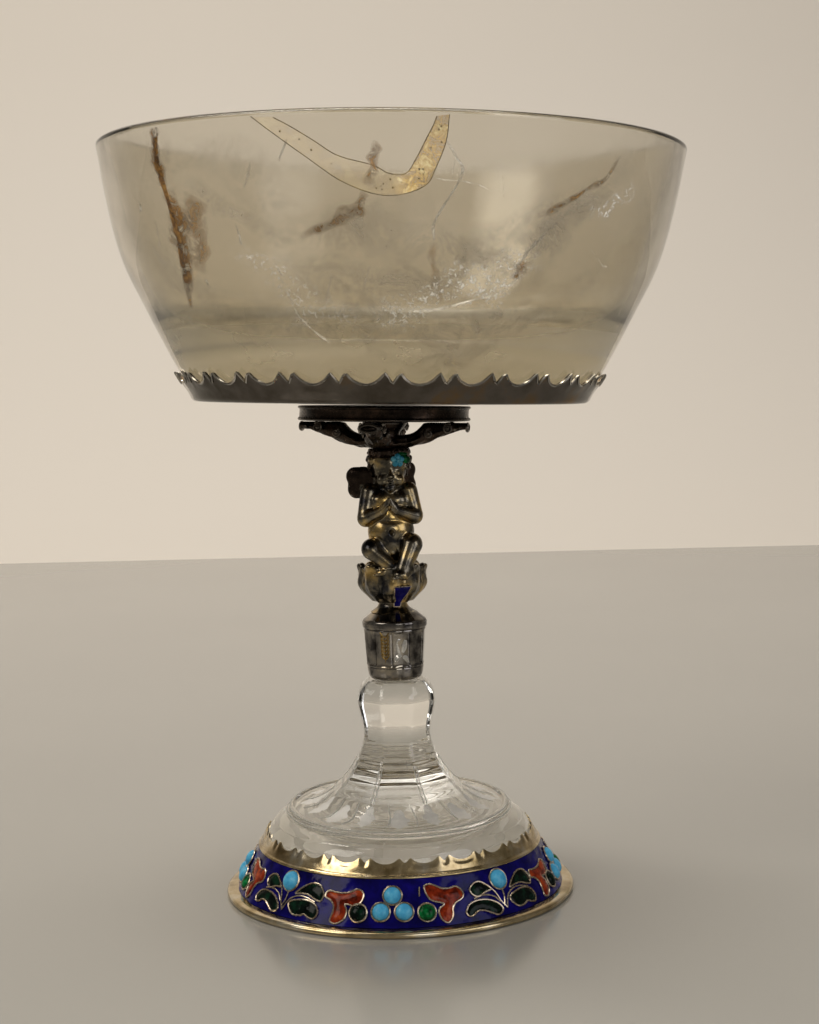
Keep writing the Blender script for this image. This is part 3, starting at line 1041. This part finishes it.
potSet = {
    "panels": 10,
    "turn": -42,
    "perPanel": 24,
    "body": [(0, 44.3), (4.4, 44.3), (5.0, 44.42), (5.35, 44.7), (5.6, 45.2), (5.75, 45.9), (5.84, 46.6),
        (5.88, 46.85), (5.82, 47.05),
             (5.98, 47.3), (6.08, 48.2), (6.22, 50.2), (6.36, 52.2), (6.46, 54.0), (6.48, 54.7),
                 (6.4, 54.95), (6.6, 55.1),
             (6.72, 55.4), (6.72, 56.1), (6.66, 56.5), (6.42, 56.8), (6.0, 57.1), (5.2, 57.72),
                 (4.75, 58.1), (4.6, 58.2), (0, 58.2)],
}


def potPanels(radius, height, angle, row):
    panel = ((math.degrees(angle) - potSet["turn"]) * potSet["panels"] / 360) % 1
    flat = math.cos(math.radians(18)) / math.cos(math.radians(36 * (panel - 0.5)))
    part = float(smoothStep(height, 47.2, 47.8) * (1 - smoothStep(height, 54.2, 54.8)))
    seam = 0.3 * math.exp(-(min(panel, 1 - panel) / 0.05) ** 2) * part
    return radius * (1 + part * 0.8 * (flat - 1)) - seam, height


potLine = []
for a, b in zip(potSet["body"], potSet["body"][1:]):
    potLine += [tuple(Vector(a).lerp(Vector(b), t / 3)) for t in range(3)]
potLine.append(potSet["body"][-1])


def potSpot(angle, height, lift):
    r = float(np.interp(height, [47.3, 54.7], [5.98, 6.48]))
    r, z = potPanels(r, height, math.radians(angle), 0)
    a = math.radians(angle)
    return ((r + lift) * math.sin(a), -(r + lift) * math.cos(a), z)


def potStroke(path, width, lift=0.02):
    line = smoothLine(path, 8)
    radii = [width * (0.35 + 0.65 * math.sin(math.pi * (0.08 + 0.84 * i / (len(line) - 1)))) for i in range(len(line))]
    return tube([potSpot(a, z, lift) for a, z in line], radii, 6)


meshPiece("pot_tub", turned(potLine, potSet["panels"] * potSet["perPanel"], potPanels), potSilver,
    onFoot,
          ["pot"], sharp=35)
chased = []
for panel in (1, 5, 7):  # a trefoil on a stalk, on the front right panel and two behind
    middle = potSet["turn"] + 36 * panel + 18
    for path in ([(-1.5, 49.7), (-6.5, 49.5), (-12.0, 48.6)], [(3.0, 49.4), (8.5, 49.2), (14.0, 48.3)],
                 [(3.0, 50.4), (6.0, 51.6), (8.5, 53.0)]):
        chased.append(potStroke([(middle + u, z) for u, z in path], 0.6, -0.12))
        chased.append(potStroke([(middle + u, z) for u, z in path], 0.1, 0.5))
    chased.append(potStroke([(middle - 8.3, 52.3), (middle - 6.4, 51.0), (middle - 3.4, 50.1),
        (middle + 0.5, 49.5)], 0.28))
    chased.append(potStroke([(middle - 8.3, 52.4), (middle - 6.0, 53.1), (middle - 2.0, 53.0)], 0.2))
for side in (66, 210, 282):  # milled line beside a seam
    for k in range(24):
        z = 48.2 + 0.25 * k
        chased.append(tube([potSpot(side - 5, z, 0.03), potSpot(side - 1.8, z, 0.03)], 0.07, 5))
meshPiece("pot_chasing", gather(chased), chasedSilver, onFoot)
feather = []
for panel in (0, 4, 6):  # gilt feather strokes on the front left panel and two behind
    middle = potSet["turn"] + 36 * panel + 22
    for k in range(7):
        z = 49.0 + 0.75 * k
        for side in (-1, 1):
            feather.append(potStroke([(middle + side * 0.8, z), (middle + side * 5, z + 0.4),
                (middle + side * 8.5, z + 1.1)], 0.22))
    feather.append(potStroke([(middle, 48.3), (middle + 0.6, 51), (middle, 54)], 0.15))
meshPiece("pot_feather_gilt", gather(feather), featherGilt, onFoot)
print("cup and pot done")


# cut crystal foot

footSet = {
    "bevel": 0.983,  # corners of the eight facets are struck off
    "stepRise": 0.6,
    "ring": 0.07,
    "ringMm": 1.5,
    "perFacet": 24,
    "skirt": [(27.9, 10.4), (27.75, 11.4), (27.4, 12.6), (26.95, 13.7), (26.4, 14.5), (25.7, 15.1),
        (24.6, 15.6), (23.6, 15.95)],
    "step": [(23.6, 15.95), (23.15, 15.98), (23.4, 16.25), (23.3, 16.6), (22.95, 16.72), (22.55, 16.55),
        (22.8, 16.95), (22.65, 17.35),
             (22.25, 17.52), (21.6, 17.3)],
    "flare": [(21.6, 17.3), (19.6, 17.55), (17.4, 18.1), (15.4, 19.6), (13.4, 21.6), (11.4, 23.8),
        (9.9, 25.9), (8.95, 27.6),
              (8.3, 29.2), (7.65, 31.2), (7.4, 33.1), (7.6, 35.2), (8.1, 37.4), (8.5, 39.2), (8.6, 40.4),
                  (8.3, 41.8),
              (7.6, 42.9), (6.9, 43.6), (6.2, 44.0)],
}
footLine = [(0, 10.4)] + [(3.5 + 1.05 * i, 10.4 + 0.35 * (i % 2)) for i in range(22)] + [(26.5,
    10.4)]  # turning marks below
baseRows = len(footLine) - 1
for part in ("skirt", "step", "flare"):
    footLine += [tuple(p) for p in smoothLine(footSet[part],
        12 if part == "flare" else 6)][(0 if part == "skirt" else 1):]
footLine += [(3.0, 44.0), (0, 44.0)]


def footFacets(radius, height, angle, row):
    off = (math.degrees(angle) + 22.5) % 45 - 22.5
    flat = math.cos(math.radians(22.5)) / math.cos(math.radians(off))
    corner = footSet["bevel"] / math.cos(math.radians(22.5 - abs(off)))
    part = float(smoothStep(19.5 - radius, 0, 7)) if height >= 17.5 else 0.0
    if 18.5 < height < 29:  # shallow ground rings round the flare
        radius += footSet["ring"] * math.sin(2 * math.pi * height / footSet["ringMm"])
    step = float(smoothStep(radius, 12, 17) * (1 - smoothStep(radius, 23.5, 27))) if height >= 15 else 0.0
    lift = footSet["stepRise"] * step * (1 - math.cos(angle))
    return radius * (1 + part * (min(flat, corner) - 1)), height + lift


footPiece = meshPiece("crystal_foot_cut", turned(footLine, 8 * footSet["perFacet"], footFacets), footQuartz,
                      onFoot, ["crystal_foot"], sharp=14, clear=True)
footPiece.data.materials.append(footBase)
for face in footPiece.data.polygons:
    face.material_index = int(face.index // (8 * footSet["perFacet"]) < baseRows)

# wheel-engraved petals: frosted cuts let into the top of the flare
flareLine = smoothLine(footSet["flare"], 6)
flareRadii = [p[0] for p in flareLine[::-1] if p[1] < 30]
flareHeights = [p[1] for p in flareLine[::-1] if p[1] < 30]


def flareSpot(angle, radius, lift):
    a = math.radians(angle)
    z = float(np.interp(radius, flareRadii, flareHeights))
    r, z = footFacets(radius, z, a % (2 * math.pi), 0)
    return ((r + 0.4 * lift) * math.sin(a), -(r + 0.4 * lift) * math.cos(a), z + lift)


engraved = []
for k in range(8):
    for turn, inner, outer, half in ((0, 15.2, 20.6, 2.0), (22.5, 14.6, 20.2, 1.5)):
        rows = []
        for i in range(17):
            t = i / 16
            radius = inner + (outer - inner) * t
            width = half * math.sin(math.pi * (0.06 + 0.9 * t)) * (1 + 0.22 * math.sin(20 * t))
            rows.append([flareSpot(45 * k + turn + math.degrees(s * width / radius), radius,
                0.035 - 0.02 * abs(s))
                         for s in (-1, -0.5, 0, 0.5, 1)])
        engraved.append(patch(rows))
    for turn in (-1.6, 1.6):  # double lines that run up the corners
        line = [flareSpot(45 * k + 22.5 + turn * 12 / r, r, 0.03) for r in np.linspace(9.2, 14.4, 16)]
        engraved.append(tube(line, 0.09, 5))
    for turn in (9, 36):
        line = [flareSpot(45 * k + turn + 3 * math.sin(3 * t), 14.4 + 5.8 * t, 0.03) for t in np.linspace(0,
            1, 14)]
        engraved.append(tube(line, [0.14 * math.sin(math.pi * (0.1 + 0.8 * i / 13)) + 0.03 for i in range(14)], 5))
for radius, height in ((23.32, 16.55), (22.72, 17.3)):  # two polished threads round the step
    line = []
    for i in range(160):
        a = 2 * math.pi * i / 160
        r, z = footFacets(radius, height, a, 0)
        line.append((r * math.sin(a), -r * math.cos(a), z))
    engraved.append(tube(line, 0.13, 6, loop=True))
meshPiece("crystal_foot_engraving", gather(engraved), frostedCut, onFoot)


# gilt foot ring with its snipped bezel

ringSet = {
    "repeats": 22,
    "perRepeat": 20,
    "drop": 1.25,
    "turn": 2.0,
    "flange": [(32.0, 0.0), (35.6, 0.0), (36.1, 0.2), (36.25, 0.6), (36.1, 1.05), (35.7, 1.3), (34.8, 1.36),
        (33.9, 1.42), (33.2, 1.5)],
    "seat": [(33.2, 1.5), (28.7, 9.75)],
    "bezel": [(28.9, 9.8), (29.35, 9.82), (29.5, 10.05), (29.35, 10.3), (28.95, 10.6), (28.6, 11.3),
        (28.25, 12.1), (27.85, 12.9),
              (27.5, 13.62)],
    "inside": [(27.25, 13.6), (27.55, 12.8), (27.85, 11.8), (28.02, 10.38), (26.6, 10.35), (26.6, 9.4),
        (29.4, 5.4), (32.0, 1.2)],
}
ringLine = ringSet["flange"] + ringSet["seat"][1:] + [tuple(p) for p in smoothLine(ringSet["bezel"],
    3)] + ringSet["inside"]


def bezelCut(radius, height, angle, row):
    if height < 10.9 or radius < 26.9:
        return radius, height
    turns = (math.degrees(angle) - ringSet["turn"]) * ringSet["repeats"] / 360
    drop = ringSet["drop"] * notchedEdge(turns) * float(smoothStep(height, 11.0, 13.6))
    return radius + 0.3 * drop, height - drop


meshPiece("foot_mount_ring", turned(ringLine, ringSet["repeats"] * ringSet["perRepeat"], bezelCut,
    loop=True), giltSilver,
          onFoot, ["foot_mount"], sharp=40)


# cobalt enamel band with wire cells

bandSet = {
    "low": (33.9, 1.5),
    "high": (29.4, 9.8),
    "turn": -3.0,
    "clusters": [0.0, 83.8, 180.0, 276.2],
    "singles": [41.9, 131.9, 228.1, 318.1],
    "wire": 0.19,
    "redRight": [(6.1, 7.8), (6.7, 8.2), (7.7, 8.1), (9.7, 7.2), (11.2, 7.1), (12.4, 7.3), (13.5, 6.6),
        (14.1, 5.4), (13.6, 4.7),
                 (12.4, 4.1), (11.9, 3.0), (11.9, 1.6), (11.0, 0.5), (9.8, 1.1), (9.1, 2.5), (9.3, 3.4),
                     (10.1, 4.1), (9.1, 4.6),
                 (7.5, 5.1), (6.5, 6.4)],
    "redLeft": [(13.6, 5.4), (12.9, 6.6), (10.7, 6.4), (8.6, 6.6), (7.0, 7.3), (6.0, 7.1), (5.6, 6.2),
        (6.2, 4.8), (7.6, 4.1),
                (8.6, 4.3), (9.4, 4.2), (9.0, 3.1), (9.4, 1.7), (10.2, 0.9), (11.4, 0.4), (12.3, 0.6),
                    (12.5, 1.2), (11.9, 2.6),
                (11.8, 4.0), (12.6, 4.9)],
    "leafLeft": [[(7.1, 6.3), (5.9, 7.3), (4.5, 7.4), (3.2, 6.5), (2.4, 5.5), (3.9, 5.2), (5.7, 4.6),
        (6.9, 5.2)],
                 [(9.3, 2.2), (8.2, 3.4), (6.2, 3.9), (3.8, 3.6), (1.9, 2.5), (1.2, 1.3), (2.1, 0.5),
                     (3.1, 0.5), (4.2, 1.1),
                  (5.7, 1.8), (7.0, 1.8), (8.1, 1.2), (9.0, 1.1), (9.4, 1.7)]],
    "leafRight": [[(2.2, 5.0), (3.5, 6.4), (5.4, 7.5), (7.2, 7.5), (8.5, 6.4), (8.9, 5.3), (8.5, 4.3),
        (7.1, 4.6), (5.4, 5.2),
                   (3.6, 5.2)],
                  [(1.4, 2.4), (1.8, 3.4), (4.2, 4.0), (6.2, 4.0), (8.0, 3.3), (8.8, 2.0), (8.3, 0.8),
                      (7.0, 0.9), (5.9, 1.3),
                   (4.6, 0.9), (2.9, 1.0)]],
    "stems": [[(-2.9, 6.4), (-1.7, 4.7), (-1.0, 2.8), (-0.1, 1.4)],
        [(-6.9, 4.3), (-4.4, 4.7), (-2.4, 4.1), (-1.2, 2.8)],
              [(-0.1, 1.2), (1.1, 3.5), (3.0, 4.6), (5.1, 4.6), (7.4, 4.0)],
                  [(0.2, 5.2), (0.1, 3.4), (-0.5, 1.8)]],
}
bandLow, bandHigh = Vector(bandSet["low"]), Vector(bandSet["high"])
bandSlope = (bandHigh - bandLow).normalized()
bandLength = (bandHigh - bandLow).length
bandOut = Vector((bandSlope[1], -bandSlope[0]))


def bandPoint(angle, slant, lift):
    # a point on the sloping band: degrees round it, mm up the slope, mm off it
    spot = bandLow + bandSlope * slant + bandOut * lift
    a = math.radians(angle + bandSet["turn"])
    return Vector((spot[0] * math.sin(a), -spot[0] * math.cos(a), spot[1]))


def onBand(center, u, v, lift):
    radius = bandLow[0] + bandSlope[0] * v
    return bandPoint(center + math.degrees(u / radius), v, lift)


def bandSwell(radius, height, angle, row):
    swell = 0.05 * math.sin(23 * angle + height) + 0.04 * math.sin(41 * angle - 1.7 * height)
    return radius + (swell if 2 <= row <= 16 else 0), height


bandLine = [(33.2, 1.5), (33.55, 1.45)] + [tuple(bandLow.lerp(bandHigh,
    k / 14)) for k in range(15)] + [(29.1, 9.85), (28.7, 9.8)]
meshPiece("enamel_band_cobalt", turned(bandLine, 360, bandSwell, loop=True), cobaltEnamel,
    onFoot,
          ["enamel_band"])


def cellFill(center, outline, flip):
    # glass paste in one wire cell, swelling a little towards its middle
    edge = [Vector((flip * p[0], p[1])) for p in smoothLine(outline, 4, loop=True)]
    if flip < 0:
        edge = edge[::-1]
    count = len(edge)
    lows = [min(p[k] for p in edge) for k in (0, 1)]
    highs = [max(p[k] for p in edge) for k in (0, 1)]
    spots = list(edge)
    for u in np.arange(lows[0], highs[0], 0.45):
        for v in np.arange(lows[1], highs[1], 0.45):
            if min((p[0] - u) ** 2 + (p[1] - v) ** 2 for p in edge) > 0.06:
                spots.append(Vector((u, v)))
    flat, _, faces, *_ = delaunay_2d_cdt(spots, [(i, (i + 1) % count) for i in range(count)],
        [list(range(count))], 1, 1e-5)
    points = []
    for p in flat:
        gap = math.sqrt(min((p[0] - e[0]) ** 2 + (p[1] - e[1]) ** 2 for e in edge))
        points.append(onBand(center, p[0], p[1], 0.10 + 0.24 * float(smoothStep(gap, 0.0, 0.9))))
    return points, [tuple(face) for face in faces]


def cellWireLoop(center, outline, flip):
    path = [onBand(center, flip * p[0], p[1], 0.16) for p in smoothLine(outline, 5, loop=True)]
    return tube(path, bandSet["wire"], 8, loop=True, squash=1.0)


redCells, leafCells, wires = [], [], []
for center in bandSet["clusters"]:
    for outline, flip in ((bandSet["redRight"], 1), (bandSet["redLeft"], -1)):
        redCells.append(cellFill(center, outline, flip))
        wires.append(cellWireLoop(center, outline, flip))
    wires.append(tube([onBand(center, 5.2, v, 0.12) for v in (6.0, 6.6, 7.2, 7.8)], 0.15, 6))
for center in bandSet["singles"]:
    for outlines, flip in ((bandSet["leafLeft"], -1), (bandSet["leafRight"], 1)):
        for outline in outlines:
            leafCells.append(cellFill(center, outline, flip))
            wires.append(cellWireLoop(center, outline, flip))
    for stem in bandSet["stems"]:
        wires.append(tube([onBand(center, u, v, 0.13) for u, v in smoothLine(stem, 8)], 0.15, 6))
meshPiece("band_cells_red", gather(redCells), redEnamel, onFoot)
meshPiece("band_cells_dark", gather(leafCells), leafEnamel, onFoot)

# domed beads, each in its own wire collar
beadSet = {"cluster": (1.65, 1.15), "single": (1.9, 1.25), "green": (1.6, 0.95), "lift": 0.12}
beadDome = [(1.0, 0.0), (0.99, 0.18), (0.93, 0.42), (0.82, 0.62), (0.66, 0.79), (0.46, 0.91), (0.23, 0.98),
    (0, 1.0)]


def bead(angle, slant, size, number):
    radius, height = size
    shape = turned([(0, -0.1)] + [(r * radius * (1 + 0.02 * math.sin(5.1 * number)), z * height) for r,
        z in beadDome], 36)
    spot = bandPoint(angle, slant, beadSet["lift"])
    normal = (bandPoint(angle, slant, 1.0) - bandPoint(angle, slant, 0.0)).normalized()
    tilt = Vector((0, 0, 1)).rotation_difference(normal).to_matrix().to_4x4()
    return placed(shape, Matrix.Translation(spot) @ tilt)


def collar(angle, slant, radius):
    ring = []
    for k in range(40):
        t = 2 * math.pi * k / 40
        ring.append(onBand(angle, radius * math.cos(t), slant + radius * math.sin(t), 0.2))
    return tube(ring, 0.21, 8, loop=True)


turquoises, greens, darkGreens = [], [], []
for center in bandSet["clusters"]:
    for offset, slant in ((0, 6.3), (-4, 3.1), (4, 3.1)):
        turquoises.append(bead(center + offset, slant, beadSet["cluster"], len(turquoises)))
        wires.append(collar(center + offset, slant, 1.8))
    for offset in (-11.8, 11.8):
        (greens if offset > 0 else darkGreens).append(bead(center + offset, 2.8, beadSet["green"],
            len(greens)))
        wires.append(collar(center + offset, 2.8, 1.75))
for center in bandSet["singles"]:
    turquoises.append(bead(center, 7.1, beadSet["single"], len(turquoises)))
    wires.append(collar(center, 7.1, 2.02))
meshPiece("band_beads_turquoise", gather(turquoises), beadTurquoise, onFoot,
          [f"turquoise_{k}" for k in range(1, 17)])
meshPiece("band_beads_green", gather(greens), greenEnamel, onFoot,
    ["green_2", "green_4", "green_6", "green_8"])
meshPiece("band_beads_bottle", gather(darkGreens), leafEnamel, onFoot,
    ["green_1", "green_3", "green_5", "green_7"])
meshPiece("band_wires", gather(wires), cellWire, onFoot)
print("foot and band done")


# stage, light and camera

stageSet = {"floor": "#9F9C94", "wall": "#D8D1C7", "back": 0.95, "reach": 3.0, "height": 2.2, "curve": 0.35}
floorMat, floorShader = startMaterial("studioFloorSatin", {"Roughness": 0.16})
floorCloud = addNode(floorMat, "ShaderNodeTexNoise", {
    "Vector": addNode(floorMat, "ShaderNodeTexCoord").outputs["Object"], "Scale": 3.0, "Detail": 3.0})
floorTone = addNode(floorMat, "ShaderNodeValToRGB", {"Fac": floorCloud.outputs["Fac"]},
                    stops=[(0.3, "#95928B"), (0.7, stageSet["floor"])])
setSockets(floorMat, floorShader, {"Base Color": floorTone.outputs["Color"]})
wallMat, wallShader = startMaterial("studioWallMatt",
    {"Base Color": srgb(stageSet["wall"]), "Roughness": 0.9})
reach, back, curve = stageSet["reach"], stageSet["back"], stageSet["curve"]
sweep = [(-reach, 0.0), (back - curve, 0.0)]
sweep += [(back - curve + curve * math.sin(t), curve * (1 - math.cos(t))) for t in np.linspace(0.1,
    math.pi / 2, 14)]
sweep += [(back, stageSet["height"])]
for name, line, mat in (("studio_floor", sweep[:2], floorMat), ("studio_wall", sweep[1:], wallMat)):
    mesh = bpy.data.meshes.new(name)
    points, faces = patch([[(-reach, y, z), (reach, y, z)] for y, z in line])
    mesh.from_pydata(points, [], faces)
    mesh.shade_smooth()
    mesh.materials.append(mat)
    obj = bpy.data.objects.new(name, mesh)
    bpy.context.scene.collection.objects.link(obj)

# position, aim, size in metres, power in watts, tint
lights = {
    "keyWindow": ((-0.75, -0.45, 0.75), (0, 0, 0.10), (0.5, 0.6), 3.6, "#FFF8EE"),
    "fillRight": ((0.75, -0.6, 0.42), (0, 0, 0.09), (0.5, 0.6), 1.7, "#F6F7FF"),
    "frontCard": ((0.22, -0.8, 0.3), (0, 0, 0.07), (0.32, 0.22), 0.55, "#FFFDF8"),
    "topSoft": ((0.0, 0.1, 0.95), (0, 0.05, 0.0), (0.7, 0.5), 3.2, "#FFFFFF"),
    "wallWash": ((-0.3, 0.25, 1.1), (0.0, 0.95, 0.35), (0.9, 0.3), 7.2, "#FFF8EE"),
}
for name, (spot, aim, size, power, tint) in lights.items():
    lamp = bpy.data.lights.new(name, "AREA")
    lamp.shape = "RECTANGLE"
    lamp.size, lamp.size_y = size
    lamp.energy = power
    lamp.color = srgb(tint)[:3]
    obj = bpy.data.objects.new(name, lamp)
    obj.location = spot
    obj.rotation_euler = (Vector(aim) - Vector(spot)).to_track_quat("-Z", "Y").to_euler()
    bpy.context.scene.collection.objects.link(obj)
world = bpy.data.worlds.new("studio")
world.use_nodes = True
world.node_tree.nodes["Background"].inputs["Color"].default_value = srgb("#B9B4AC")
world.node_tree.nodes["Background"].inputs["Strength"].default_value = 0.3
bpy.context.scene.world = world
bpy.context.scene.view_settings.view_transform = "Standard"

# matched to the picture: a long lens a little above the table, tipped down, a slight roll
view = {"spot": (-0.8, -388.1, 115.13), "pitch": 5.359, "yaw": 0.531, "roll": -1.251, "focalPx": 1888,
    "heightPx": 1024}
pitch, yaw, roll = (math.radians(view[k]) for k in ("pitch", "yaw", "roll"))
forward = Vector((math.sin(yaw) * math.cos(pitch), math.cos(yaw) * math.cos(pitch), -math.sin(pitch)))
right = Vector((math.cos(yaw), -math.sin(yaw), 0))
up = right.cross(forward)
right, up = right * math.cos(roll) + up * math.sin(roll), up * math.cos(roll) - right * math.sin(roll)
lens = bpy.data.cameras.new("pictureLens")
lens.sensor_fit = "VERTICAL"
lens.sensor_height = 36.0
lens.lens = 36.0 * view["focalPx"] / view["heightPx"]
lens.clip_start = 0.01
camera = bpy.data.objects.new("pictureCamera", lens)
camera.matrix_world = Matrix((right, up, -forward)).transposed().to_4x4()
camera.location = Vector(view["spot"]) * mm
bpy.context.scene.collection.objects.link(camera)
bpy.context.scene.camera = camera
print("stage done")
